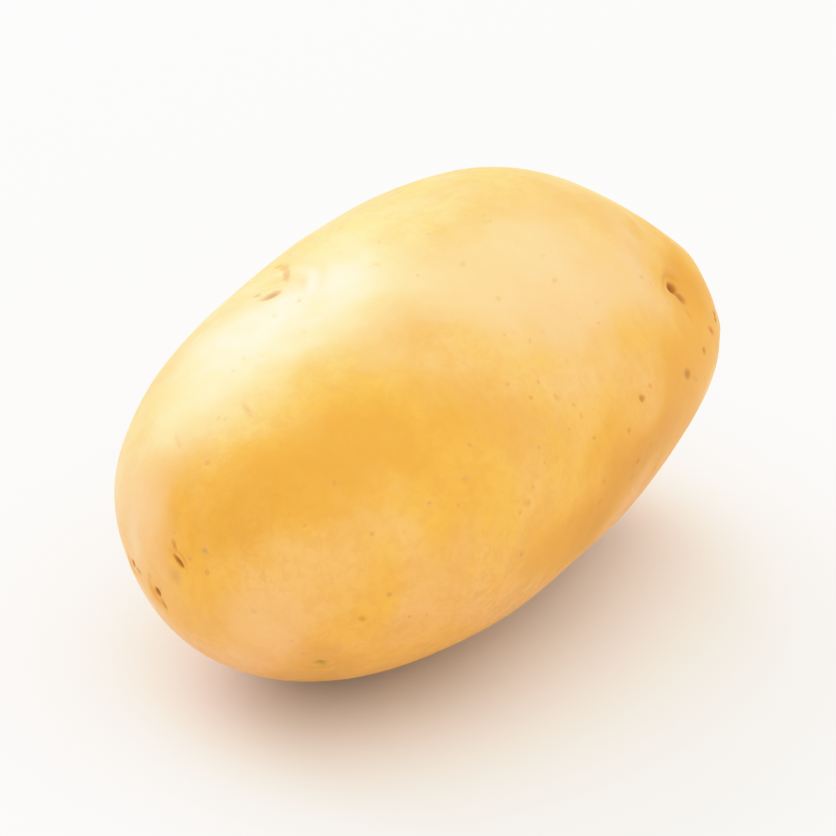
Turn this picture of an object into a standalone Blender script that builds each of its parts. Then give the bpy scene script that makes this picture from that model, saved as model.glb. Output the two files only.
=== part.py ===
"""A washed yellow table potato: one solid tuber lying on its side, on a small flat resting spot.

Metres, +Z up. The long axis runs along X, from the rose end at -X, where the eyes crowd together,
to the stem end at +X. The resting spot is at z = 0, and the origin is under the middle of the box
that holds the tuber.
"""

import math
from collections import namedtuple

import bmesh
import bpy
from mathutils import Vector

# The tuber's overall form, before its swells and hollows
LENGTH = 0.110
WIDTH = 0.065
HEIGHT = 0.054
END_FULLNESS = 2.8  # exponent of the lengthwise outline: 2 is an ellipse, and more is blunter
STEM_END_THICKENING = 0.08  # share of height gained at the stem end and lost at the rose end
SIDE_BOW = 0.001  # how far the two ends curve towards -Y, against the middle

# The flat that the tuber lies on, worn and pressed by its own weight
REST_CUT = 0.0006  # height of the sliver taken off the underside

# Surface mesh
RINGS = 26  # faces along each edge of the cube that the surface is spread from
SNAP = 0.00002  # points this close to the resting plane are put on it

SKIN_COLOUR = (0.80, 0.52, 0.15, 1.0)
SKIN_ROUGHNESS = 0.42

# A broad swelling, or a flattening where rise is negative. Its middle is given as seen from the
# tuber's centre: azimuth from +X towards +Y, and elevation, with its angular spread, in degrees.
Swell = namedtuple("Swell", "azimuth elevation spread rise")
SWELLS = (
    Swell(180, -40, 35, 0.0031),  # heavy underside of the rose end
    Swell(150, 50, 35, -0.0019),  # sloping far shoulder
    Swell(-15, 35, 18, -0.0013),  # dip on top of the stem end
    Swell(-60, -20, 22, -0.0014),  # near lower flank, drawn in
    Swell(-45, 5, 22, 0.0017),  # near cheek of the stem end
    Swell(95, -5, 24, -0.0012),  # shallow waist on the far side
    Swell(55, -30, 24, 0.0010),  # far lower flank
    Swell(0, -90, 28, 0.0012),  # belly that it settles on
)

# A shallow hollow round an eye or a scar. station runs from -1 at the rose tip to +1 at the stem
# tip, and turn goes round the long axis, in degrees from +Y over +Z.
Hollow = namedtuple("Hollow", "station turn width depth")
HOLLOWS = (
    Hollow(0.52, 146, 0.013, 0.0012),
    Hollow(-0.25, 60, 0.011, 0.0008),
    Hollow(-0.76, 84, 0.009, 0.0004),
    Hollow(-0.99, 15, 0.008, 0.0008),
    Hollow(-0.95, -36, 0.007, 0.0007),
    Hollow(-0.90, -10, 0.007, 0.0005),
    Hollow(-0.86, -128, 0.009, 0.0006),
    Hollow(-0.62, -30, 0.010, 0.0009),
    Hollow(-0.40, -118, 0.011, 0.0008),
    Hollow(-0.02, 8, 0.012, 0.0011),
    Hollow(0.22, -60, 0.012, 0.0010),
    Hollow(0.48, 42, 0.012, 0.0010),
    Hollow(0.66, -150, 0.011, 0.0009),
    Hollow(0.98, -25, 0.012, 0.0018),  # the scar where the tuber hung from its stolon
)


def clear_scene():
    for obj in list(bpy.data.objects):
        bpy.data.objects.remove(obj, do_unlink=True)


def on_sphere(azimuth, elevation):
    """The unit direction at these angles, in degrees."""
    around, above = math.radians(azimuth), math.radians(elevation)
    level = math.cos(above)
    return Vector((level * math.cos(around), level * math.sin(around), math.sin(above)))


def at_station(station, turn):
    """The unit direction at this place along the long axis and this angle round it."""
    ring = math.sqrt(1 - station**2)
    angle = math.radians(turn)
    return Vector((station, ring * math.cos(angle), ring * math.sin(angle)))


def body_point(direction):
    """Where the tuber's plump outline, with its swells, meets this direction of the unit sphere."""
    x, y, z = direction
    round_ring = math.sqrt(max(1 - x * x, 0))
    full_ring = math.sqrt(max(1 - abs(x) ** END_FULLNESS, 0))
    fullness = full_ring / round_ring if round_ring > 1e-6 else 1.0
    point = Vector(
        (
            x * LENGTH / 2,
            y * fullness * WIDTH / 2,
            z * fullness * HEIGHT / 2 * (1 + STEM_END_THICKENING * x),
        )
    )
    point.y -= SIDE_BOW * (x * x - 0.3)
    for swell in SWELLS:
        middle = on_sphere(swell.azimuth, swell.elevation)
        tightness = 1 - math.cos(math.radians(swell.spread))
        point += direction * swell.rise * math.exp((direction.dot(middle) - 1) / tightness)
    return point


def outward(point):
    """The direction straight out of an ellipsoid of the tuber's size at this point."""
    return Vector(
        (point.x / LENGTH**2, point.y / WIDTH**2, point.z / HEIGHT**2)
    ).normalized()


def sink_hollows(points):
    """Moves points inwards round each hollow. A hollow keeps its own width on a tuber of any size."""
    middles = [body_point(at_station(hollow.station, hollow.turn)) for hollow in HOLLOWS]
    for point in points:
        inwards = -outward(point)
        depth = 0.0
        for hollow, middle in zip(HOLLOWS, middles):
            away = (point - middle).length / (hollow.width / 2)
            depth += hollow.depth * math.exp(-away * away)
        point += inwards * depth


def spread_sphere(bm):
    """An evenly spaced unit sphere of quads, spread from a subdivided cube."""
    bmesh.ops.create_cube(bm, size=2)
    bmesh.ops.subdivide_edges(bm, edges=bm.edges[:], cuts=RINGS - 1, use_grid_fill=True)
    for vert in bm.verts:
        vert.co = Vector([math.tan(side * math.pi / 4) for side in vert.co]).normalized()


def cut_resting_spot(bm):
    """Slices the underside off level, closes it with one flat face, and returns that face."""
    lowest = min(vert.co.z for vert in bm.verts)
    level = Vector((0, 0, lowest + REST_CUT))
    bmesh.ops.bisect_plane(
        bm,
        geom=bm.verts[:] + bm.edges[:] + bm.faces[:],
        dist=SNAP,
        plane_co=level,
        plane_no=(0, 0, -1),
        clear_outer=True,
    )
    rim = [edge for edge in bm.edges if edge.is_boundary]
    for vert in {vert for edge in rim for vert in edge.verts}:
        vert.co.z = level.z
    spot = bmesh.ops.contextual_create(bm, geom=rim)["faces"]
    bmesh.ops.recalc_face_normals(bm, faces=bm.faces[:])
    return spot


def stand_on_origin(bm):
    """Puts the bottom centre of the tuber's box on the origin."""
    corners = [[pick(vert.co[axis] for vert in bm.verts) for axis in range(3)] for pick in (min, max)]
    low, high = map(Vector, corners)
    middle = (low + high) / 2
    bmesh.ops.translate(bm, verts=bm.verts[:], vec=(-middle.x, -middle.y, -low.z))


def skin_material():
    material = bpy.data.materials.new("yellow_skin")
    material.use_nodes = True
    shader = material.node_tree.nodes["Principled BSDF"]
    shader.inputs["Base Color"].default_value = SKIN_COLOUR
    shader.inputs["Roughness"].default_value = SKIN_ROUGHNESS
    shader.inputs["Metallic"].default_value = 0.0
    material.diffuse_color = SKIN_COLOUR
    return material


def make_potato():
    bm = bmesh.new()
    spread_sphere(bm)
    for vert in bm.verts:
        vert.co = body_point(vert.co)
    sink_hollows([vert.co for vert in bm.verts])
    for face in bm.faces:
        face.smooth = True
    for face in cut_resting_spot(bm):
        face.smooth = False
    stand_on_origin(bm)
    mesh = bpy.data.meshes.new("potato")
    bm.to_mesh(mesh)
    bm.free()
    mesh.materials.append(skin_material())
    potato = bpy.data.objects.new("potato", mesh)
    bpy.context.scene.collection.objects.link(potato)
    return potato


clear_scene()
make_potato()
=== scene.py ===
"""The finished look of a washed yellow table potato, grown over its plain solid.

The tuber's skin is a fine mesh cast onto the solid, with its eyes, stem scar and blemishes carved
in, and one procedural skin material, into whose colour some shade and light are painted. It lies
on a pale floor in soft studio light. All lengths are in metres unless a name says otherwise.
"""

import math
from collections import namedtuple

import bmesh
import bpy
import numpy as np
from bpy.props import FloatProperty, FloatVectorProperty, IntProperty, PointerProperty
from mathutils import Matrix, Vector, noise
from mathutils.bvhtree import BVHTree


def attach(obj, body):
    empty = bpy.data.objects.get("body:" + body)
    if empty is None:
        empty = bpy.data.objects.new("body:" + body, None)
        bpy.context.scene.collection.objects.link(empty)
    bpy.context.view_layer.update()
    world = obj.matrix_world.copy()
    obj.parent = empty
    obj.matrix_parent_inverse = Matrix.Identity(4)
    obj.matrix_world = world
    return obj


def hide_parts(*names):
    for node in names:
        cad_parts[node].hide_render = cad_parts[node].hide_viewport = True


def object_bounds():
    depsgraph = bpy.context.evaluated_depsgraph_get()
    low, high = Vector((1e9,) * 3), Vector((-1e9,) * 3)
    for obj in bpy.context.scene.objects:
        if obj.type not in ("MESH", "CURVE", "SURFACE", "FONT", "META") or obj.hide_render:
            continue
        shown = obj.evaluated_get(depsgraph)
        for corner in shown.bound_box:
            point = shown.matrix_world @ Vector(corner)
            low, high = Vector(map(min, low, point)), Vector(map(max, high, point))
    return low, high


bl_info = {
    "name": "Washed potato",
    "version": (1, 0, 0),
    "blender": (4, 5, 0),
    "location": "3D View > Sidebar > Potato",
    "description": "Grows a potato's skin over its plain solid and lights it on a pale floor",
    "category": "Object",
}

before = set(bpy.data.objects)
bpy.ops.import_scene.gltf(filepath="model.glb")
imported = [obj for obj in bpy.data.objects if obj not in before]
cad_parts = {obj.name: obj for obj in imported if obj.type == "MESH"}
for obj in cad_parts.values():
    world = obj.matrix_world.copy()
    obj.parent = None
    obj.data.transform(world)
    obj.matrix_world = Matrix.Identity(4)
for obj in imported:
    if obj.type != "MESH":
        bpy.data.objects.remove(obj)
SOLID_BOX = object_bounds()
SOLID_LOW = Vector(SOLID_BOX[0])
SOLID_HIGH = Vector(SOLID_BOX[1])
SOLID_MIDDLE = (SOLID_LOW + SOLID_HIGH) / 2

MM = 0.001

# An eye: a pit that runs along its length, under a brow on the side towards the stem end. Its place
# is the direction from the tuber's middle, in degrees: azimuth from +X towards +Y, and elevation.
# tilt turns it from lying round the long axis. gap is from the pit to the brow, brow is how high
# the brow stands, and cork is how strongly the pit is stained.
Eye = namedtuple("Eye", "azimuth elevation tilt length width depth gap brow cork")
EYES = (
    # In sight from the near side
    Eye(-37.9, 19.3, 80, 3.2 * MM, 1.9 * MM, 0.80 * MM, 3.4 * MM, 0.20 * MM, 0.95),
    Eye(134.4, 45.4, -18, 3.6 * MM, 2.6 * MM, 0.28 * MM, 6.4 * MM, 0.50 * MM, 0.20),
    Eye(174.4, 0.6, -76, 2.6 * MM, 0.75 * MM, 0.40 * MM, 1.9 * MM, 0.09 * MM, 0.80),
    Eye(169.0, -6.8, 20, 1.5 * MM, 1.2 * MM, 0.45 * MM, 2.0 * MM, 0.10 * MM, 0.85),
    Eye(161.6, -5.7, 49, 1.3 * MM, 1.1 * MM, 0.40 * MM, 1.9 * MM, 0.14 * MM, 0.80),
    Eye(-165.0, -15.2, -40, 2.0 * MM, 1.0 * MM, 0.30 * MM, 2.6 * MM, 0.14 * MM, 0.40),
    # On the far side, the underside and the stem end
    Eye(144.1, -14.4, 12, 2.8 * MM, 1.2 * MM, 0.60 * MM, 3.4 * MM, 0.26 * MM, 0.90),
    Eye(-145.8, -40.5, -8, 2.4 * MM, 1.1 * MM, 0.50 * MM, 3.6 * MM, 0.22 * MM, 0.80),
    Eye(91.1, 7.4, 6, 3.4 * MM, 1.4 * MM, 0.80 * MM, 4.6 * MM, 0.34 * MM, 0.95),
    Eye(52.9, -48.3, -14, 2.8 * MM, 1.2 * MM, 0.60 * MM, 4.0 * MM, 0.26 * MM, 0.80),
    Eye(40.2, 27.1, 10, 3.0 * MM, 1.2 * MM, 0.70 * MM, 4.6 * MM, 0.32 * MM, 0.90),
    Eye(-32.3, -14.4, -12, 2.4 * MM, 1.1 * MM, 0.50 * MM, 3.6 * MM, 0.24 * MM, 0.75),
)

# The brow over an eye, and the crease under that brow, as shares of the eye's gap
BROW_BEND = 2.2  # twice the radius of the brow's curve round the pit
BROW_REACH = 1.25  # how far the brow runs to either side
BROW_WIDTH = 0.34
CREASE_DROP = 0.42  # from the brow's crest back towards the pit
CREASE_WIDTH = 0.20
CREASE_DEPTH = 0.50  # as a share of the brow's height
# The painted shade in the crease under the brow:
CREASE_SHADE = 0.30  # as a share of the eye's cork

# The painted shade, warm in colour, in the hollow round an eye. Its shift towards the brow and its
# reach are shares of the gap, and its strengths are shares of the cork.
HOLLOW_SHADE_SHIFT = 0.30
HOLLOW_SHADE_REACH = 0.90
HOLLOW_SHADE_ROUND_PIT = 0.55
HOLLOW_SHADE_IN_CREASE = 0.35

# The scar where the tuber hung from its stolon, at the stem end. rim and nub are heights.
Scar = namedtuple("Scar", "azimuth elevation radius depth rim nub")
STEM_SCAR = Scar(6.7, -2.5, 2.4 * MM, 0.60 * MM, 0.20 * MM, 0.35 * MM)

# The waves that make the scar's outline uneven: how many go round it, how strongly, and from where
SCAR_LOBES = ((2, 1.0, 0.7), (3, 0.8, 2.1), (5, 0.4, 4.0))
SCAR_UNEVENNESS = 0.09  # how far the lobes move the outline, as a share of the radius
SCAR_SQUASH = 1.25  # how much narrower it is one way than the other
SCAR_STAIN = 0.50
# Painted shade round the scar
SCAR_HOLLOW_SHADE = 0.90

# Where the parts of the scar lie and how wide they are, as shares of its radius
SCAR_RIM_PLACE = 1.35
SCAR_RIM_WIDTH = 0.35
SCAR_RING_PLACE = 0.80
SCAR_RING_WIDTH = 0.35
SCAR_FLOOR_WIDTH = 0.80
SCAR_NUB_PLACE = 0.20
SCAR_NUB_WIDTH = 0.30
SCAR_HOLLOW_SHADE_WIDTH = 2.0

SCAR_RIM_UNEVENNESS = 0.40  # how far the lobes raise and lower the rim
SCAR_RING_FADE = 0.25  # half of how much paler the ring is on its palest side
SCAR_RING_SIDE = 1.0  # the direction of the ring's strongest side, in radians

# Small stains, nicks and scabs. dent is how deep a mark lies, or how proud where it is negative.
Mark = namedtuple("Mark", "azimuth elevation tilt length width dent tone strength")
MARKS = (
    # Round the eye at the stem end
    Mark(-39.0, 17.2, 5, 2.6 * MM, 2.2 * MM, 0.18 * MM, "bark", 0.75),
    Mark(-42.2, 14.7, -16, 3.4 * MM, 1.0 * MM, 0.08 * MM, "ochre", 0.35),
    Mark(-35.0, 8.0, -26, 2.6 * MM, 0.9 * MM, 0.22 * MM, "cork", 0.85),
    Mark(-39.6, 8.1, 43, 2.6 * MM, 1.0 * MM, 0.06 * MM, "rust", 0.70),
    Mark(-45.3, 7.4, -10, 1.4 * MM, 1.1 * MM, 0.06 * MM, "bark", 0.60),
    Mark(-54.1, 7.6, 48, 2.2 * MM, 1.6 * MM, 0.10 * MM, "bark", 0.65),
    Mark(-75.4, 13.0, 49, 1.5 * MM, 1.2 * MM, 0.08 * MM, "bark", 0.75),
    Mark(-70.8, 14.0, 29, 1.4 * MM, 0.8 * MM, 0.03 * MM, "bark", 0.35),
    # Round the eyes at the rose end
    Mark(173.9, -1.6, -60, 3.2 * MM, 2.8 * MM, 0.10 * MM, "slate", 0.22),
    Mark(173.4, 2.7, 80, 1.8 * MM, 0.8 * MM, 0.04 * MM, "bark", 0.40),
    Mark(170.3, -8.3, 21, 2.0 * MM, 0.8 * MM, 0.10 * MM, "bark", 0.50),
    Mark(163.7, -5.8, 82, 2.2 * MM, 0.9 * MM, 0.08 * MM, "bark", 0.45),
    Mark(179.1, 3.8, -33, 1.4 * MM, 0.9 * MM, 0.03 * MM, "slate", 0.45),
    Mark(176.6, 1.7, -72, 0.8 * MM, 0.6 * MM, 0.03 * MM, "slate", 0.40),
    # Round the eye up on the far shoulder, and across the top
    Mark(134.6, 45.8, -18, 3.2 * MM, 3.4 * MM, 0.02 * MM, "slate", 0.75),
    Mark(127.6, 42.3, -16, 1.2 * MM, 1.5 * MM, 0.05 * MM, "slate", 0.50),
    Mark(103.6, 45.8, 8, 2.0 * MM, 1.2 * MM, 0.05 * MM, "ochre", 0.50),
    Mark(109.5, 48.8, -47, 4.4 * MM, 1.5 * MM, 0.14 * MM, "bark", 0.34),
    Mark(119.9, 50.5, -59, 4.2 * MM, 1.2 * MM, 0.14 * MM, "bark", 0.38),
    Mark(178.3, 60.9, -20, 0.7 * MM, 0.6 * MM, 0.03 * MM, "bark", 0.30),
    Mark(173.1, 42.9, 0, 1.2 * MM, 0.8 * MM, 0.02 * MM, "slate", 0.22),
    Mark(164.8, 29.2, -39, 1.4 * MM, 0.8 * MM, 0.02 * MM, "slate", 0.20),
    Mark(175.9, 23.9, -42, 3.8 * MM, 0.9 * MM, 0.06 * MM, "slate", 0.30),
    Mark(166.5, 15.8, -55, 4.2 * MM, 0.7 * MM, 0.03 * MM, "bark", 0.14),
    # Down the near flank
    Mark(-165.0, -15.2, 68, 2.2 * MM, 1.4 * MM, 0.05 * MM, "leaf", 0.55),
    Mark(-84.3, 8.5, -15, 1.0 * MM, 0.8 * MM, 0.03 * MM, "bark", 0.30),
    Mark(-79.6, -1.9, 65, 1.2 * MM, 0.8 * MM, 0.03 * MM, "bark", 0.35),
    # On the far side and the underside
    Mark(112.0, 22.0, 40, 4.5 * MM, 0.8 * MM, 0.10 * MM, "rust", 0.45),
    Mark(70.0, -12.0, -35, 3.2 * MM, 0.8 * MM, 0.08 * MM, "bark", 0.40),
    Mark(20.0, 38.0, 75, 2.2 * MM, 0.8 * MM, 0.05 * MM, "bark", 0.40),
    Mark(28.0, -18.0, 10, 3.0 * MM, 1.8 * MM, -0.06 * MM, "rust", 0.35),
    Mark(128.0, 5.0, 30, 1.6 * MM, 1.2 * MM, 0.05 * MM, "bark", 0.45),
)

# Soft dents in the skin, or bumps where the dent is negative
Dent = namedtuple("Dent", "azimuth elevation tilt length width dent")
DENTS = (
    Dent(-34.0, 18.5, -38, 13.0 * MM, 6.5 * MM, 0.75 * MM),
    Dent(-23.0, 14.0, -38, 9.0 * MM, 3.6 * MM, -0.35 * MM),
    Dent(-24.0, 29.0, -30, 4.2 * MM, 2.6 * MM, -0.30 * MM),
    Dent(-30.0, 30.0, -30, 3.0 * MM, 2.2 * MM, 0.25 * MM),
    Dent(-32.0, 4.0, 10, 4.0 * MM, 2.4 * MM, -0.22 * MM),
    Dent(-160.0, 24.0, 60, 34.0 * MM, 11.0 * MM, 0.35 * MM),
)

# Broad, soft patches of painted shade where the depth is positive, and of painted highlight and
# painted reflected light where it is negative. One band is partly real deeper skin.
Patch = namedtuple("Patch", "azimuth elevation tilt length width depth")
SHADE_AND_LIGHT_PATCHES = (
    # Deeper band across the near side: partly real deeper skin, partly painted shade between the
    # highlight and the lit side
    Patch(-166.0, 19.0, 62, 44 * MM, 16 * MM, 1.2),
    # Painted shade along the near flank
    Patch(-69.0, 5.0, -77, 54 * MM, 18 * MM, 0.95),
    # Painted light on the top, where the overhead light falls
    Patch(-75.0, 50.0, 75, 46 * MM, 26 * MM, -0.9),
    # Painted reflected light on the rose end
    Patch(168.0, 3.0, 0, 26 * MM, 20 * MM, -0.75),
    # Painted highlight over the upper rose end, under the softbox
    Patch(160.0, 45.0, 60, 50 * MM, 22 * MM, -1.0),
    # Painted shade in the hollow round the stem-end eye
    Patch(-34.0, 17.0, -38, 17 * MM, 10 * MM, 1.3),
    # Painted shade along the lower near flank
    Patch(-84.0, -3.0, -79, 58 * MM, 12 * MM, 0.9),
    # The near-side band carried on to the rose end: partly real deeper skin, partly painted shade
    Patch(-177.5, 9.5, 60, 20 * MM, 13 * MM, 0.45),
    # Painted reflected light low on the rose end
    Patch(-172.0, -5.0, 0, 30 * MM, 12 * MM, -0.6),
)

# Faint freckles strewn over the whole skin
FRECKLES = 150
FRECKLE_SIZES = (0.35 * MM, 1.1 * MM)
FRECKLE_STRENGTHS = (0.12, 0.50)
SEED = 11

# How far a patch's edge wanders, and over what distance, first broadly and then finely
WANDERS = ((6.0 * MM, 13 * MM), (2.4 * MM, 4.5 * MM))

# Clouds of colour in sound skin, each laid over the ones before it. shift, in metres, moves the
# pattern of one, so that no two lie alike.
Cloud = namedtuple("Cloud", "colour size contrast shift")
CLOUDS = (
    Cloud("cream", 26 * MM, 0.62, (0.0, 0.0, 0.0)),
    Cloud("ochre", 17 * MM, 0.55, (3.1, 1.7, 0.4)),
    Cloud("ochre", 1.6 * MM, 0.32, (0.0, 0.0, 0.0)),
)
CLOUD_EDGES = (0.40, 0.66)  # the noise between which clear skin turns to cloud

# Dots strewn over the skin. share and softness are shares of the spread between them.
Dots = namedtuple("Dots", "colour spread share softness strength")
PORES = Dots("pore", 3.4 * MM, 0.15, 0.06, 0.50)
FLECKS = Dots("bark", 1.3 * MM, 0.13, 0.08, 0.17)
SMALLEST_DOT = 0.02

NET_SIZE = 1.5 * MM
NET_WIDTH = 0.16
NET_PATCHES = 15 * MM  # distance from one well-netted patch to the next
NET_COVER = (0.14, 0.60)  # how strong the net is between those patches, and in them

# How deep a patch has to be for each colour to start, and to cover fully: ochre and amber are painted
# shade, cream is painted highlight and painted reflected light
PAINTED_SHADE_FROM = (0.0, 1.5)
DEEPEST_PAINTED_SHADE_FROM = (1.0, 2.2)
PAINTED_LIGHT_FROM = (0.0, -1.0)
# How strongly the painted shade round the eyes and the scar tints the skin ochre
HOLLOW_SHADE_STRENGTH = 0.55

# Corky tissue's ragged edge, and the darker core inside it
TISSUE_EDGE = {"Size": 0.5 * MM, "Ragged": 0.35, "Edge": 0.16, "Softness": 0.46}
CORE_FROM = (0.55, 1.0)
CORE_STRENGTH = 0.5

# The waxy coat: how much of it the painted shade and the painted light keep, and how far it is worn
# in patches
WAX_FROM = (0.8, -1.0)
WAX_KEPT = (0.05, 1.0)
WEAR_SIZE = 7 * MM
WEAR_FROM = (0.35, 0.65)
WEAR_KEPT = (1.0, 0.68)

# What is added to the roughness of clean skin
WRINKLE_ROUGHNESS = 0.16
TISSUE_ROUGHNESS = 0.32
PORE_ROUGHNESS = 0.15

# The finest relief: sizes in metres, and heights in millimetres
GRAIN_SIZE = 0.45 * MM
GRAIN_HEIGHT = 0.026
WRINKLE_SIZE = 2.6 * MM
WRINKLE_HEIGHT = 0.062
PORE_HEIGHT = 0.020
NET_HEIGHT = 0.020
CRUMB_HEIGHT = 0.09

TONES = ("cork", "bark", "ochre", "rust", "slate", "leaf")
FAR_SIDE = -20 * MM  # points lower than this under a feature are too far round to be part of it
SETTLED_HEIGHT = 2.5 * MM  # relief fades out this close above the resting spot

# The brightest light that is shown unchanged, and the brightest that the softening covers
KNEE = 0.78
BRIGHTEST = 2.4
CURVE_STEPS = 24

AIR_COLOUR = (1.0, 0.985, 0.955)
LIT_SIDE = (0.35, -0.94, 0.0)  # the even light is stronger from this side
SKYLINE_FADE = (0.05, 0.22)  # heights between which the skyline's light gives way to the rest

# The main softbox: where it hangs, as seen from the tuber, and how wide and tall it is
SOFTBOX_SIDE = (0.38, 0.79, 0.50)
SOFTBOX_DISTANCE = 1.8
SOFTBOX_SIZE = (1.53, 1.12)
SOFTBOX_COLOUR = (1.0, 0.91, 0.97)


class TuberShape(bpy.types.PropertyGroup):
    """The relief that the skin adds to the plain solid."""

    cage_faces: IntProperty(
        name="Cage faces",
        description="Faces along each edge of the cube that the coarse net is spread from",
        default=27,
        min=8,
        max=40,
    )
    levels: IntProperty(
        name="Smoothing levels",
        description="Subdivisions from the coarse net to the skin",
        default=2,
        min=1,
        max=3,
    )
    swell_height: FloatProperty(
        name="Swell height",
        description="Height of the broad, soft unevenness of the skin",
        default=0.30 * MM,
        unit="LENGTH",
    )
    swell_width: FloatProperty(
        name="Swell width",
        description="Distance from one broad swell to the next",
        default=15 * MM,
        unit="LENGTH",
    )
    ripple_height: FloatProperty(
        name="Ripple height",
        description="Height of the small unevenness of the skin",
        default=0.035 * MM,
        unit="LENGTH",
    )
    ripple_width: FloatProperty(
        name="Ripple width",
        description="Distance from one small ripple to the next",
        default=4 * MM,
        unit="LENGTH",
    )
    fine_reach: FloatProperty(
        name="Fine mesh reach",
        description="Distance from an eye within which the mesh is finer",
        default=4.5 * MM,
        unit="LENGTH",
    )


def colour_property(name, description, default):
    """A colour that a user can pick, held as linear light."""
    return FloatVectorProperty(
        name=name,
        description=description,
        default=default,
        subtype="COLOR",
        min=0.0,
        max=1.0,
    )


class SkinFinish(bpy.types.PropertyGroup):
    """Colours and gloss of the skin."""

    gold: colour_property("Gold", "Main colour of the skin", (0.86, 0.415, 0.034))
    # Cream is also painted highlight and painted reflected light, where a patch's depth is negative
    cream: colour_property("Cream", "Paler patches of the skin", (0.89, 0.455, 0.165))
    # Ochre is also painted shade: in deep patches, in the brows' creases and round the eyes and the
    # scar
    ochre: colour_property("Ochre", "Deeper patches of the skin", (0.69, 0.315, 0.014))
    # Amber is only painted shade, in the deepest patches
    painted_shade_amber: colour_property("Amber", "Deepest patches of the skin", (0.62, 0.262, 0.008))
    net: colour_property("Net", "Faint netting of the skin", (0.66, 0.37, 0.075))
    pore: colour_property("Pore", "Breathing pores of the skin", (0.52, 0.25, 0.06))
    cork: colour_property("Cork", "Dead tissue in the eyes and the scar", (0.40, 0.130, 0.006))
    core: colour_property("Core", "Darkest tissue, deep in an eye", (0.16, 0.050, 0.002))
    bark: colour_property("Bark", "Mid-brown specks", (0.46, 0.19, 0.020))
    rust: colour_property("Rust", "Rubbed, reddish skin", (0.62, 0.22, 0.055))
    slate: colour_property("Slate", "Greyish bruised spots", (0.48, 0.31, 0.12))
    leaf: colour_property("Leaf", "Skin greened by light", (0.50, 0.34, 0.045))
    roughness: FloatProperty(
        name="Roughness",
        description="Roughness of clean skin",
        default=0.50,
        min=0.0,
        max=1.0,
        subtype="FACTOR",
    )


class StudioSet(bpy.types.PropertyGroup):
    """The camera, the floor and the light."""

    azimuth: FloatProperty(
        name="Azimuth",
        description="Direction of view round the tuber: 0 looks along +Y",
        default=math.radians(-59.6),
        subtype="ANGLE",
    )
    elevation: FloatProperty(
        name="Elevation",
        description="Angle at which the camera looks down",
        default=math.radians(26.5),
        subtype="ANGLE",
    )
    distance: FloatProperty(
        name="Distance",
        description="Distance from the camera to the tuber's middle",
        default=0.70,
        unit="LENGTH",
    )
    focal_length: FloatProperty(
        name="Focal length",
        description="Focal length of the lens, in millimetres",
        default=215.0,
    )
    floor_radius: FloatProperty(
        name="Floor radius",
        description="Radius of the round floor",
        default=6.0,
        unit="LENGTH",
    )
    floor_colour: colour_property("Floor", "Colour of the floor", (0.77, 0.765, 0.755))
    air_strength: FloatProperty(
        name="Even light",
        description="Strength of the light from level with the tuber",
        default=0.98,
        min=0.0,
    )
    sky_strength: FloatProperty(
        name="Overhead light",
        description="Strength that is added to the even light straight above",
        default=0.52,
        min=0.0,
    )
    skyline_strength: FloatProperty(
        name="Skyline",
        description="Strength of the light level with the floor, to match the floor's far edge",
        default=0.98,
        min=0.0,
    )
    slant: FloatProperty(
        name="Slant of light",
        description="Share by which the even light is stronger on one side, and weaker on the other",
        default=0.16,
        min=0.0,
        max=1.0,
    )
    key_power: FloatProperty(
        name="Main light",
        description="Power of the main softbox, in watts",
        default=18.0,
        min=0.0,
    )


# ---------------------------------------------------------------- the tuber's mesh


def towards(azimuth, elevation):
    """The unit direction at these angles, in degrees."""
    around = math.radians(azimuth)
    above = math.radians(elevation)
    level = math.cos(above)
    return Vector((level * math.cos(around), level * math.sin(around), math.sin(above)))


def solid_tree():
    """The plain solid's surface, to cast rays at."""
    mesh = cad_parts["potato"].data
    points = [vert.co for vert in mesh.vertices]
    return BVHTree.FromPolygons(points, [face.vertices[:] for face in mesh.polygons])


def on_solid(tree, direction):
    """Where the solid's surface lies in this direction from its middle, and which way it faces."""
    point, normal, _, _ = tree.ray_cast(SOLID_MIDDLE, direction.normalized())
    if point is None:
        raise RuntimeError("the plain solid has a gap in it")
    return point, normal


def cast_cage(tree, faces_along_edge):
    """A coarse, evenly spread net of quads on the solid's surface."""
    cage = bmesh.new()
    bmesh.ops.create_cube(cage, size=2)
    cuts = faces_along_edge - 1
    bmesh.ops.subdivide_edges(cage, edges=cage.edges[:], cuts=cuts, use_grid_fill=True)
    half = (SOLID_HIGH - SOLID_LOW) / 2
    for vert in cage.verts:
        even = Vector([math.tan(side * math.pi / 4) for side in vert.co]).normalized()
        vert.co = on_solid(tree, even * half)[0]
    mesh = bpy.data.meshes.new("potato_tuber")
    cage.to_mesh(mesh)
    cage.free()
    return mesh


def smooth_cage(piece, levels):
    """Rounds the net off into a smooth skin, and keeps the result as its mesh."""
    rounding = piece.modifiers.new("rounding", "SUBSURF")
    rounding.levels = levels
    rounding.render_levels = levels
    graph = bpy.context.evaluated_depsgraph_get()
    smooth = bpy.data.meshes.new_from_object(piece.evaluated_get(graph))
    piece.modifiers.clear()
    coarse = piece.data
    piece.data = smooth
    bpy.data.meshes.remove(coarse)
    smooth.name = "potato_tuber"


def refine_round(mesh, centres, reach):
    """Halves the mesh's edges near each centre, for finer carving there."""
    bm = bmesh.new()
    bm.from_mesh(mesh)
    near = [
        edge
        for edge in bm.edges
        if any((edge.verts[0].co - centre).length < reach for centre in centres)
    ]
    bmesh.ops.subdivide_edges(bm, edges=near, cuts=1, use_grid_fill=True)
    bm.to_mesh(mesh)
    bm.free()


def read_points(mesh):
    points = np.empty(len(mesh.vertices) * 3)
    mesh.vertices.foreach_get("co", points)
    return points.reshape(-1, 3)


def read_normals(mesh):
    normals = np.empty(len(mesh.vertices) * 3, np.float32)
    mesh.vertex_normals.foreach_get("vector", normals)
    return normals.reshape(-1, 3).astype(float)


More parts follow.
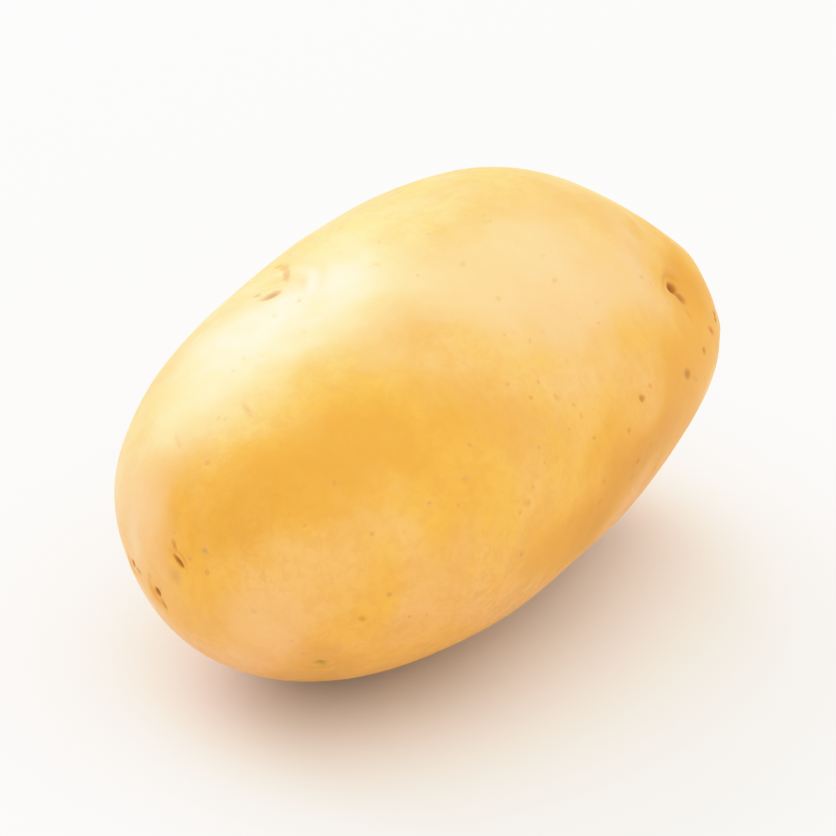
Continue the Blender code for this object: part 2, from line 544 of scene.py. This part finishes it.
def uneven_height(points, shape):
    """Height of the soft swells and ripples at each point."""
    heights = np.empty(len(points))
    for index, point in enumerate(points):
        place = Vector(point)
        swell = noise.noise(place / shape.swell_width)
        ripple = noise.noise(place / shape.ripple_width + Vector((7, 3, 5)))
        heights[index] = swell * shape.swell_height + ripple * shape.ripple_height
    return heights


def wandered(points):
    """The points, each moved a little by smooth noise, so that what is drawn there is uneven."""
    noise.seed_set(SEED)  # without it, vector noise differs from one run to the next
    moved = np.empty_like(points)
    for index, point in enumerate(points):
        place = Vector(point)
        for reach, width in WANDERS:
            place += noise.noise_vector(Vector(point) / width) * reach
        moved[index] = place
    return moved


def bell(away, width):
    """1 at no distance, easing off either way within about this width."""
    return np.exp(-((away / width) ** 2))


def plateau(away, width):
    """Close to 1 near the middle, falling steeply at about this width."""
    return np.exp(-((away / width) ** 4))


def blot(u, v, feature):
    """A soft oval of this feature's length and width."""
    return np.exp(-((2 * u / feature.length) ** 2) - (2 * v / feature.width) ** 2)


class SkinMap:
    """The skin's points with what has been carved, stained and painted with shade and light at each
    of them so far.
    """

    def __init__(self, points, tones):
        self.points = points
        self.astray = wandered(points)
        self.tones = tones
        self.height = np.zeros(len(points))
        # Stains, and the painted shade in the brows' creases
        self.stain = np.zeros(len(points))
        self.halo = np.zeros(len(points))
        # depth: painted shade where positive (partly real deeper skin in one band), painted highlight
        # and painted reflected light where negative
        self.depth = np.zeros(len(points))
        self.tone = np.tile((*tones["cork"], 0.0), (len(points), 1))

    def local(self, place, normal, tilt, points=None):
        """Each point's place along and across a feature: across leans towards the stem end."""
        points = self.points if points is None else points
        stemward = Vector((1, 0, 0)) - normal * normal.x
        stemward.normalize()
        around = stemward.cross(normal)
        angle = math.radians(tilt)
        along = around * math.cos(angle) + stemward * math.sin(angle)
        across = stemward * math.cos(angle) - around * math.sin(angle)
        offset = points - np.array(place)
        same_side = offset @ np.array(normal) > FAR_SIDE
        u = np.where(same_side, offset @ np.array(along), 1.0)
        v = np.where(same_side, offset @ np.array(across), 1.0)
        return u, v

    def colour_in(self, shape, tone, strength):
        """Lays this tone on wherever it is stronger than what is there: real stains, and the painted
        shade in the brows' creases.
        """
        stronger = shape * strength > self.stain * self.tone[:, 3]
        self.stain[stronger] = shape[stronger]
        self.tone[stronger] = (*self.tones[tone], strength)

    def carve_eye(self, place, normal, eye):
        u, v = self.local(place, normal, eye.tilt)
        gap = eye.gap
        pit = blot(u, v, eye)
        self.height -= eye.depth * pit
        under_brow = v - (gap - u**2 / (BROW_BEND * gap))
        span = plateau(u, BROW_REACH * gap)
        self.height += eye.brow * span * bell(under_brow, BROW_WIDTH * gap)
        crease = span * bell(under_brow + CREASE_DROP * gap, CREASE_WIDTH * gap)
        self.height -= CREASE_DEPTH * eye.brow * crease
        # Painted shade in the crease under the brow
        self.colour_in(crease, "ochre", CREASE_SHADE * eye.cork)
        # Painted shade in the hollow round the pit and in the crease
        spread = bell(np.hypot(u, v - HOLLOW_SHADE_SHIFT * gap), HOLLOW_SHADE_REACH * gap)
        halo = eye.cork * (HOLLOW_SHADE_ROUND_PIT * spread + HOLLOW_SHADE_IN_CREASE * crease)
        self.halo = np.maximum(self.halo, halo)
        self.colour_in(pit, "cork", eye.cork)

    def carve_scar(self, place, normal, scar):
        u, v = self.local(place, normal, 0)
        turn = np.arctan2(v, u)
        lobes = sum(share * np.cos(count * turn + start) for count, share, start in SCAR_LOBES)
        outline = scar.radius * (1 + SCAR_UNEVENNESS * lobes)
        away = np.hypot(u, SCAR_SQUASH * v) / outline
        self.height -= scar.depth * plateau(away, 1.0)
        rim = bell(away - SCAR_RIM_PLACE, SCAR_RIM_WIDTH) * (1 + SCAR_RIM_UNEVENNESS * lobes)
        self.height += scar.rim * rim
        from_nub = np.hypot(u - SCAR_NUB_PLACE * scar.radius, v)
        self.height += scar.nub * bell(from_nub, SCAR_NUB_WIDTH * scar.radius)
        # Painted shade round the scar
        self.halo = np.maximum(self.halo, SCAR_HOLLOW_SHADE * bell(away, SCAR_HOLLOW_SHADE_WIDTH))
        fade = SCAR_RING_FADE * (np.cos(turn - SCAR_RING_SIDE) - 1)
        ring = bell(away - SCAR_RING_PLACE, SCAR_RING_WIDTH) * (1 + fade)
        self.colour_in(ring, "cork", SCAR_STAIN)
        self.colour_in(plateau(away, SCAR_FLOOR_WIDTH), "bark", SCAR_STAIN)

    def add_mark(self, place, normal, mark):
        shape = blot(*self.local(place, normal, mark.tilt), mark)
        self.height -= mark.dent * shape
        self.colour_in(shape, mark.tone, mark.strength)

    def press(self, place, normal, dent):
        self.height -= dent.dent * blot(*self.local(place, normal, dent.tilt), dent)

    def add_shade_and_light_patch(self, place, normal, patch):
        uneven = self.local(place, normal, patch.tilt, self.astray)
        self.depth += patch.depth * blot(*uneven, patch)


def strewn_freckles():
    """Small marks at random directions, the same ones on each run."""
    random = np.random.default_rng(SEED)
    for _ in range(FRECKLES):
        x, y, z = random.normal(size=3)
        size = random.uniform(*FRECKLE_SIZES)
        yield Mark(
            math.degrees(math.atan2(y, x)),
            math.degrees(math.atan2(z, math.hypot(x, y))),
            random.uniform(-90, 90),
            size * random.uniform(1.0, 2.0),
            size,
            0.02 * MM,
            ("bark", "leaf", "slate", "rust")[random.integers(4)],
            random.uniform(*FRECKLE_STRENGTHS),
        )


def carve_skin(piece, tree, shape, finish):
    """Carves and stains every feature, paints the patches of shade and light, and stores what the
    skin material needs on the mesh.
    """
    mesh = piece.data
    points = read_points(mesh)
    tones = {name: tuple(getattr(finish, name)) for name in TONES}
    skin = SkinMap(points, tones)
    for eye in EYES:
        skin.carve_eye(*on_solid(tree, towards(eye.azimuth, eye.elevation)), eye)
    scar = STEM_SCAR
    skin.carve_scar(*on_solid(tree, towards(scar.azimuth, scar.elevation)), scar)
    for mark in (*MARKS, *strewn_freckles()):
        skin.add_mark(*on_solid(tree, towards(mark.azimuth, mark.elevation)), mark)
    for dent in DENTS:
        skin.press(*on_solid(tree, towards(dent.azimuth, dent.elevation)), dent)
    for patch in SHADE_AND_LIGHT_PATCHES:
        skin.add_shade_and_light_patch(*on_solid(tree, towards(patch.azimuth, patch.elevation)), patch)
    heights = skin.height + uneven_height(points, shape)
    above_floor = np.clip((points[:, 2] - SOLID_LOW.z) / SETTLED_HEIGHT, 0, 1)
    heights *= above_floor * above_floor * (3 - 2 * above_floor)
    moved = points + read_normals(mesh) * heights[:, None]
    moved[:, 2] = np.maximum(moved[:, 2], SOLID_LOW.z)
    mesh.vertices.foreach_set("co", moved.ravel())
    # stain holds stains and painted crease shade, halo painted shade round eyes and scar, depth
    # painted shade and light
    mesh.attributes.new("stain", "FLOAT", "POINT").data.foreach_set("value", skin.stain)
    mesh.attributes.new("halo", "FLOAT", "POINT").data.foreach_set("value", skin.halo)
    mesh.attributes.new("depth", "FLOAT", "POINT").data.foreach_set("value", skin.depth)
    tone = mesh.attributes.new("tone", "FLOAT_COLOR", "POINT")
    tone.data.foreach_set("color", skin.tone.ravel())
    mesh.shade_smooth()
    mesh.update()


class POTATO_OT_grow_tuber(bpy.types.Operator):
    """Grow the tuber's finished skin over the plain solid"""

    bl_idname = "potato.grow_tuber"
    bl_label = "Grow tuber"

    def execute(self, context):
        shape = context.scene.tuber_shape
        finish = context.scene.skin_finish
        tree = solid_tree()
        piece = bpy.data.objects.new("potato_tuber", cast_cage(tree, shape.cage_faces))
        context.scene.collection.objects.link(piece)
        smooth_cage(piece, shape.levels)
        features = (*EYES, STEM_SCAR)
        centres = [on_solid(tree, towards(spot.azimuth, spot.elevation))[0] for spot in features]
        refine_round(piece.data, centres, shape.fine_reach)
        carve_skin(piece, tree, shape, finish)
        piece.data.materials.append(skin_material(finish))
        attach(piece, "root")
        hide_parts("potato")
        return {"FINISHED"}


# ---------------------------------------------------------------- shared shader groups


class Nodes:
    """Short ways to add and join the nodes of one tree."""

    def __init__(self, tree):
        self.tree = tree

    def add(self, kind, inputs=None, **settings):
        """A new node with these settings. inputs gives each socket's value, or the output to join."""
        node = self.tree.nodes.new(kind)
        for name, value in settings.items():
            setattr(node, name, value)
        for name, value in (inputs or {}).items():
            self.feed(node.inputs[name], value)
        return node

    def feed(self, socket, value):
        if isinstance(value, bpy.types.NodeSocket):
            self.tree.links.new(value, socket)
        else:
            socket.default_value = value

    def math(self, operation, first, second=0.0, third=0.0, clamp=False):
        inputs = {0: first, 1: second, 2: third}
        node = self.add("ShaderNodeMath", inputs, operation=operation, use_clamp=clamp)
        return node.outputs[0]

    def remap(self, value, low, high, to_low=0.0, to_high=1.0):
        """The value eased from one range to another, and held inside it."""
        inputs = {
            "Value": value,
            "From Min": low,
            "From Max": high,
            "To Min": to_low,
            "To Max": to_high,
        }
        node = self.add("ShaderNodeMapRange", inputs, interpolation_type="SMOOTHSTEP")
        return node.outputs["Result"]

    def blend(self, factor, first, second):
        """The first colour where the factor is 0, and the second where it is 1."""
        # A mix node has a pair of inputs for each kind of data. These are the colours' ones.
        inputs = {0: factor, 6: first, 7: second}
        return self.add("ShaderNodeMix", inputs, data_type="RGBA").outputs[2]

    def noise(self, place, size, detail=2.0, roughness=0.5, distortion=0.0):
        """Soft noise whose lumps are about size apart."""
        inputs = {
            "Vector": place,
            "Scale": self.math("DIVIDE", 1.0, size),
            "Detail": detail,
            "Roughness": roughness,
            "Distortion": distortion,
        }
        return self.add("ShaderNodeTexNoise", inputs).outputs[0]


def new_group(name, inputs, outputs):
    """An empty shader group, with its sockets and its two end nodes."""
    group = bpy.data.node_groups.new(name, "ShaderNodeTree")
    for label, kind, value in inputs:
        socket = group.interface.new_socket(label, in_out="INPUT", socket_type=kind)
        if value is not None:
            socket.default_value = value
    for label, kind in outputs:
        group.interface.new_socket(label, in_out="OUTPUT", socket_type=kind)
    nodes = Nodes(group)
    return group, nodes, nodes.add("NodeGroupInput").outputs, nodes.add("NodeGroupOutput").inputs


def mottle_group():
    """Two colours mingled in soft, cloudy patches."""
    group, nodes, given, out = new_group(
        "mottle",
        (
            ("Place", "NodeSocketVector", None),
            ("Size", "NodeSocketFloat", 0.01),
            ("Contrast", "NodeSocketFloat", 0.5),
            ("Colour", "NodeSocketColor", (1, 1, 1, 1)),
            ("Patch", "NodeSocketColor", (0.5, 0.5, 0.5, 1)),
        ),
        (("Colour", "NodeSocketColor"),),
    )
    clouds = nodes.noise(
        given["Place"], given["Size"], detail=3.0, roughness=0.55, distortion=0.6
    )
    cover = nodes.remap(clouds, *CLOUD_EDGES)
    mask = nodes.math("MULTIPLY", cover, given["Contrast"], clamp=True)
    nodes.feed(out["Colour"], nodes.blend(mask, given["Colour"], given["Patch"]))
    return group


def speckle_group():
    """Round dots of uneven size, strewn over the surface. Spread is the distance between them."""
    group, nodes, given, out = new_group(
        "speckle",
        (
            ("Place", "NodeSocketVector", None),
            ("Spread", "NodeSocketFloat", 0.004),
            ("Share", "NodeSocketFloat", 0.1),
            ("Softness", "NodeSocketFloat", 0.04),
        ),
        (("Dots", "NodeSocketFloat"),),
    )
    cells = nodes.add(
        "ShaderNodeTexVoronoi",
        {"Vector": given["Place"], "Scale": nodes.math("DIVIDE", 1.0, given["Spread"])},
        feature="F1",
    )
    distance = cells.outputs["Distance"]
    shade = nodes.add("ShaderNodeSeparateColor", {"Color": cells.outputs["Color"]})
    size = nodes.math("MULTIPLY_ADD", shade.outputs[0], given["Share"], SMALLEST_DOT)
    inner = nodes.math("SUBTRACT", size, given["Softness"])
    dots = nodes.remap(distance, inner, size, 1.0, 0.0)
    nodes.feed(out["Dots"], dots)
    return group


def netting_group():
    """Fine, broken lines that cross like a net. Size is the distance between them."""
    group, nodes, given, out = new_group(
        "netting",
        (
            ("Place", "NodeSocketVector", None),
            ("Size", "NodeSocketFloat", 0.0015),
            ("Width", "NodeSocketFloat", 0.12),
        ),
        (("Lines", "NodeSocketFloat"),),
    )
    scale = nodes.math("DIVIDE", 1.0, given["Size"])
    wander = nodes.add("ShaderNodeTexNoise", {"Vector": given["Place"], "Scale": scale})
    push = nodes.add(
        "ShaderNodeVectorMath",
        {0: wander.outputs["Color"], 1: (0.5, 0.5, 0.5)},
        operation="SUBTRACT",
    ).outputs[0]
    push = nodes.add(
        "ShaderNodeVectorMath", {0: push, "Scale": given["Size"]}, operation="SCALE"
    ).outputs[0]
    place = nodes.add("ShaderNodeVectorMath", {0: given["Place"], 1: push}).outputs[0]
    cells = nodes.add(
        "ShaderNodeTexVoronoi", {"Vector": place, "Scale": scale}, feature="DISTANCE_TO_EDGE"
    )
    lines = nodes.remap(cells.outputs["Distance"], 0.0, given["Width"], 1.0, 0.0)
    gaps = nodes.remap(nodes.noise(given["Place"], given["Size"]), 0.40, 0.60)
    nodes.feed(out["Lines"], nodes.math("MULTIPLY", lines, gaps))
    return group


def ragged_group():
    """A soft mask given a crisp, ragged edge by noise."""
    group, nodes, given, out = new_group(
        "ragged_edge",
        (
            ("Place", "NodeSocketVector", None),
            ("Mask", "NodeSocketFloat", 0.0),
            ("Size", "NodeSocketFloat", 0.0006),
            ("Ragged", "NodeSocketFloat", 0.3),
            ("Edge", "NodeSocketFloat", 0.35),
            ("Softness", "NodeSocketFloat", 0.2),
        ),
        (("Mask", "NodeSocketFloat"),),
    )
    rough = nodes.noise(given["Place"], given["Size"], detail=3.0, roughness=0.6)
    push = nodes.math("MULTIPLY", nodes.math("SUBTRACT", rough, 0.5), given["Ragged"])
    # Clean skin, where the mask is nought, isn't pushed over the edge.
    covered = nodes.remap(given["Mask"], 0.0, 0.12)
    pushed = nodes.math("MULTIPLY_ADD", push, covered, given["Mask"])
    top = nodes.math("ADD", given["Edge"], given["Softness"])
    nodes.feed(out["Mask"], nodes.remap(pushed, given["Edge"], top))
    return group


def use_group(nodes, group, inputs):
    node = nodes.add("ShaderNodeGroup", node_tree=group)
    for name, value in inputs.items():
        nodes.feed(node.inputs[name], value)
    return node


# ---------------------------------------------------------------- the skin's material


def opaque(colour):
    return (*colour, 1.0)


def clouded_skin(nodes, place, finish):
    """The colour of sound skin: gold, with paler and deeper clouds in it."""
    mottle = mottle_group()
    colour = opaque(finish.gold)
    for cloud in CLOUDS:
        shifted = nodes.add("ShaderNodeVectorMath", {0: place, 1: cloud.shift}, operation="ADD")
        inputs = {
            "Place": shifted.outputs[0],
            "Size": cloud.size,
            "Contrast": cloud.contrast,
            "Colour": colour,
            "Patch": opaque(getattr(finish, cloud.colour)),
        }
        colour = use_group(nodes, mottle, inputs).outputs["Colour"]
    return colour


def strewn_dots(nodes, speckle, place, dots):
    """Where dots of this kind lie on the skin."""
    inputs = {
        "Place": place,
        "Spread": dots.spread,
        "Share": dots.share,
        "Softness": dots.softness,
    }
    return use_group(nodes, speckle, inputs).outputs["Dots"]


def broken_net(nodes, place):
    """Faint netting, stronger in some patches than in others."""
    inputs = {"Place": place, "Size": NET_SIZE, "Width": NET_WIDTH}
    lines = use_group(nodes, netting_group(), inputs).outputs["Lines"]
    patches = nodes.noise(place, NET_PATCHES, detail=3.0)
    return nodes.math("MULTIPLY", lines, nodes.remap(patches, *CLOUD_EDGES, *NET_COVER))


def wax_coat(nodes, place, depth, tissue):
    """More coat where light is painted on, less where shade is painted on, and none on corky tissue.
    """
    wax = nodes.remap(depth, *WAX_FROM, *WAX_KEPT)
    patches = nodes.noise(place, WEAR_SIZE, detail=3.0, roughness=0.6)
    wax = nodes.math("MULTIPLY", wax, nodes.remap(patches, *WEAR_FROM, *WEAR_KEPT))
    return nodes.math("MULTIPLY", wax, nodes.math("SUBTRACT", 1.0, tissue))


def fine_relief(nodes, grain, wrinkle, pores, net, tissue):
    """The finest relief, as a bent normal."""
    height = nodes.math("MULTIPLY", grain, GRAIN_HEIGHT)
    height = nodes.math("MULTIPLY_ADD", wrinkle, WRINKLE_HEIGHT, height)
    height = nodes.math("MULTIPLY_ADD", pores, PORE_HEIGHT, height)
    height = nodes.math("MULTIPLY_ADD", net, NET_HEIGHT, height)
    crumbs = nodes.math("MULTIPLY", nodes.math("MULTIPLY", grain, tissue), CRUMB_HEIGHT)
    height = nodes.math("ADD", height, crumbs)
    bump = nodes.add("ShaderNodeBump", {"Height": height, "Strength": 1.0, "Distance": MM})
    return bump.outputs["Normal"]


def skin_material(finish):
    """Thin, washed, golden skin: mottled, pored, and corky in its eyes and scars."""
    material = bpy.data.materials.new("potato_skin")
    material.use_nodes = True
    material.node_tree.nodes.clear()
    nodes = Nodes(material.node_tree)
    speckle = speckle_group()
    place = nodes.add("ShaderNodeTexCoord").outputs["Object"]
    stain = nodes.add("ShaderNodeAttribute", attribute_name="stain").outputs["Fac"]
    halo = nodes.add("ShaderNodeAttribute", attribute_name="halo").outputs["Fac"]
    depth = nodes.add("ShaderNodeAttribute", attribute_name="depth").outputs["Fac"]
    tone = nodes.add("ShaderNodeAttribute", attribute_name="tone").outputs

    def tint(colour, strength, name):
        """The colour, covered this strongly with one of the finish's colours."""
        return nodes.blend(strength, colour, opaque(getattr(finish, name)))

    pores = strewn_dots(nodes, speckle, place, PORES)
    flecks = strewn_dots(nodes, speckle, place, FLECKS)
    net = broken_net(nodes, place)
    colour = clouded_skin(nodes, place, finish)
    colour = tint(colour, nodes.math("MULTIPLY", pores, PORES.strength), PORES.colour)
    colour = tint(colour, nodes.math("MULTIPLY", flecks, FLECKS.strength), FLECKS.colour)
    colour = tint(colour, net, "net")
    # Painted shade and light: ochre and amber where a patch's depth is positive, cream where it is
    # negative
    colour = tint(colour, nodes.remap(depth, *PAINTED_SHADE_FROM), "ochre")
    colour = tint(colour, nodes.remap(depth, *DEEPEST_PAINTED_SHADE_FROM), "painted_shade_amber")
    colour = tint(colour, nodes.remap(depth, *PAINTED_LIGHT_FROM), "cream")
    # Painted shade round the eyes and the scar
    colour = tint(colour, nodes.math("MULTIPLY", halo, HOLLOW_SHADE_STRENGTH, clamp=True), "ochre")

    edge = {"Place": place, "Mask": stain, **TISSUE_EDGE}
    corky = use_group(nodes, ragged_group(), edge).outputs["Mask"]
    tissue = nodes.math("MULTIPLY", corky, tone["Alpha"])
    colour = nodes.blend(tissue, colour, tone["Color"])
    core = nodes.math("MULTIPLY", nodes.remap(stain, *CORE_FROM), tone["Alpha"])
    colour = tint(colour, nodes.math("MULTIPLY", core, CORE_STRENGTH), "core")

    grain = nodes.noise(place, GRAIN_SIZE, detail=3.0, roughness=0.6)
    wrinkle = nodes.noise(place, WRINKLE_SIZE, detail=3.0, distortion=0.8)
    smoothest = finish.roughness - WRINKLE_ROUGHNESS / 2
    roughness = nodes.math("MULTIPLY_ADD", wrinkle, WRINKLE_ROUGHNESS, smoothest)
    roughness = nodes.math("MULTIPLY_ADD", tissue, TISSUE_ROUGHNESS, roughness)
    roughness = nodes.math("MULTIPLY_ADD", pores, PORE_ROUGHNESS, roughness, clamp=True)

    shader = nodes.add(
        "ShaderNodeBsdfPrincipled",
        {
            "Base Color": colour,
            "Roughness": roughness,
            "Normal": fine_relief(nodes, grain, wrinkle, pores, net, tissue),
            "IOR": 1.42,
            "Coat Weight": wax_coat(nodes, place, depth, tissue),
            "Coat IOR": 1.6,
            "Coat Roughness": 0.38,
            "Subsurface Weight": 0.12,
            "Subsurface Radius": (1.0, 0.42, 0.12),
            "Subsurface Scale": 2.5 * MM,
        },
    )
    out = nodes.add("ShaderNodeOutputMaterial")
    nodes.feed(out.inputs["Surface"], shader.outputs["BSDF"])
    return material


# ---------------------------------------------------------------- the stage


def floor_material(studio):
    material = bpy.data.materials.new("pale_floor")
    material.use_nodes = True
    shader = material.node_tree.nodes["Principled BSDF"]
    shader.inputs["Base Color"].default_value = opaque(studio.floor_colour)
    shader.inputs["Roughness"].default_value = 0.75
    shader.inputs["Specular IOR Level"].default_value = 0.25
    return material


def lay_floor(studio):
    """A round floor, level with the resting spot."""
    disc = bmesh.new()
    bmesh.ops.create_circle(disc, cap_ends=True, segments=96, radius=studio.floor_radius)
    bmesh.ops.translate(disc, verts=disc.verts[:], vec=(0, 0, SOLID_LOW.z))
    mesh = bpy.data.meshes.new("studio_floor")
    disc.to_mesh(mesh)
    disc.free()
    mesh.materials.append(floor_material(studio))
    floor = bpy.data.objects.new("studio_floor", mesh)
    bpy.context.scene.collection.objects.link(floor)


def hang_softbox(studio):
    """An area light that faces the tuber, from above and behind it as the camera sees it."""
    light = bpy.data.lights.new("main_softbox", "AREA")
    light.shape = "RECTANGLE"
    light.size, light.size_y = SOFTBOX_SIZE
    light.energy = studio.key_power
    light.color = SOFTBOX_COLOUR
    softbox = bpy.data.objects.new("main_softbox", light)
    away = Vector(SOFTBOX_SIDE).normalized()
    softbox.location = SOLID_MIDDLE + away * SOFTBOX_DISTANCE
    softbox.rotation_euler = away.to_track_quat("Z", "Y").to_euler()
    bpy.context.scene.collection.objects.link(softbox)


def fill_with_light(studio):
    """Even light from all round, stronger from above, so that no side falls dark."""
    world = bpy.data.worlds.new("studio_air")
    world.use_nodes = True
    background = world.node_tree.nodes["Background"]
    background.inputs["Color"].default_value = opaque(AIR_COLOUR)
    nodes = Nodes(world.node_tree)
    direction = nodes.add("ShaderNodeTexCoord").outputs["Generated"]
    above = nodes.add("ShaderNodeSeparateXYZ", {0: direction}).outputs["Z"]
    sky = nodes.math("MULTIPLY", nodes.remap(above, 0.0, 1.0), studio.sky_strength)
    sideways = nodes.add(
        "ShaderNodeVectorMath", {0: direction, 1: LIT_SIDE}, operation="DOT_PRODUCT"
    ).outputs["Value"]
    even = nodes.remap(sideways, -1.0, 1.0, 1 - studio.slant, 1 + studio.slant)
    strength = nodes.math("MULTIPLY_ADD", even, studio.air_strength, sky)
    skyline = nodes.remap(above, *SKYLINE_FADE, 1.0, 0.0)
    lift = nodes.math("SUBTRACT", studio.skyline_strength, strength)
    strength = nodes.math("MULTIPLY_ADD", skyline, lift, strength)
    nodes.feed(background.inputs["Strength"], strength)
    bpy.context.scene.world = world


def stand_camera(studio):
    azimuth = studio.azimuth
    elevation = studio.elevation
    back = Vector(
        (
            math.sin(azimuth) * math.cos(elevation),
            -math.cos(azimuth) * math.cos(elevation),
            math.sin(elevation),
        )
    )
    lens = bpy.data.cameras.new("studio_camera")
    lens.lens = studio.focal_length
    lens.clip_start = 0.01
    lens.clip_end = 50.0
    camera = bpy.data.objects.new("studio_camera", lens)
    camera.location = SOLID_MIDDLE + back * studio.distance
    camera.rotation_euler = back.to_track_quat("Z", "Y").to_euler()
    bpy.context.scene.collection.objects.link(camera)
    bpy.context.scene.camera = camera


def soften_highlights(view):
    """Plain colours, with the brightest of them eased towards white instead of cut off."""
    view.view_transform = "Standard"
    view.use_curve_mapping = True
    tone = view.curve_mapping
    tone.white_level = (BRIGHTEST,) * 3
    curve = tone.curves[3]
    for step in range(1, CURVE_STEPS):
        light = BRIGHTEST * step / CURVE_STEPS
        curve.points.new(light / BRIGHTEST, eased(light))
    curve.points[-1].location = (1.0, eased(BRIGHTEST))
    for point in curve.points:
        point.handle_type = "AUTO"
    tone.update()


def eased(light):
    """Light as shown: the same up to KNEE, then bent over so that it never quite reaches 1."""
    if light <= KNEE:
        return light
    room = 1 - KNEE
    return KNEE + room * (1 - math.exp((KNEE - light) / room))


class POTATO_OT_set_stage(bpy.types.Operator):
    """Lay the floor, hang the light and stand the camera"""

    bl_idname = "potato.set_stage"
    bl_label = "Set stage"

    def execute(self, context):
        studio = context.scene.studio_set
        lay_floor(studio)
        fill_with_light(studio)
        hang_softbox(studio)
        stand_camera(studio)
        soften_highlights(context.scene.view_settings)
        return {"FINISHED"}


class POTATO_PT_panel(bpy.types.Panel):
    """Sizes, colours and steps of the potato"""

    bl_label = "Washed potato"
    bl_idname = "POTATO_PT_panel"
    bl_space_type = "VIEW_3D"
    bl_region_type = "UI"
    bl_category = "Potato"

    def draw(self, context):
        for group in (context.scene.tuber_shape, context.scene.skin_finish):
            for name in group.__annotations__:
                self.layout.prop(group, name)
        self.layout.operator(POTATO_OT_grow_tuber.bl_idname)
        for name in context.scene.studio_set.__annotations__:
            self.layout.prop(context.scene.studio_set, name)
        self.layout.operator(POTATO_OT_set_stage.bl_idname)


CLASSES = (
    TuberShape,
    SkinFinish,
    StudioSet,
    POTATO_OT_grow_tuber,
    POTATO_OT_set_stage,
    POTATO_PT_panel,
)


def register():
    for cls in CLASSES:
        bpy.utils.register_class(cls)
    bpy.types.Scene.tuber_shape = PointerProperty(type=TuberShape)
    bpy.types.Scene.skin_finish = PointerProperty(type=SkinFinish)
    bpy.types.Scene.studio_set = PointerProperty(type=StudioSet)


def unregister():
    del bpy.types.Scene.studio_set
    del bpy.types.Scene.skin_finish
    del bpy.types.Scene.tuber_shape
    for cls in reversed(CLASSES):
        bpy.utils.unregister_class(cls)


def main():
    register()
    bpy.ops.potato.grow_tuber()
    bpy.ops.potato.set_stage()


if __name__ == "__main__":
    main()
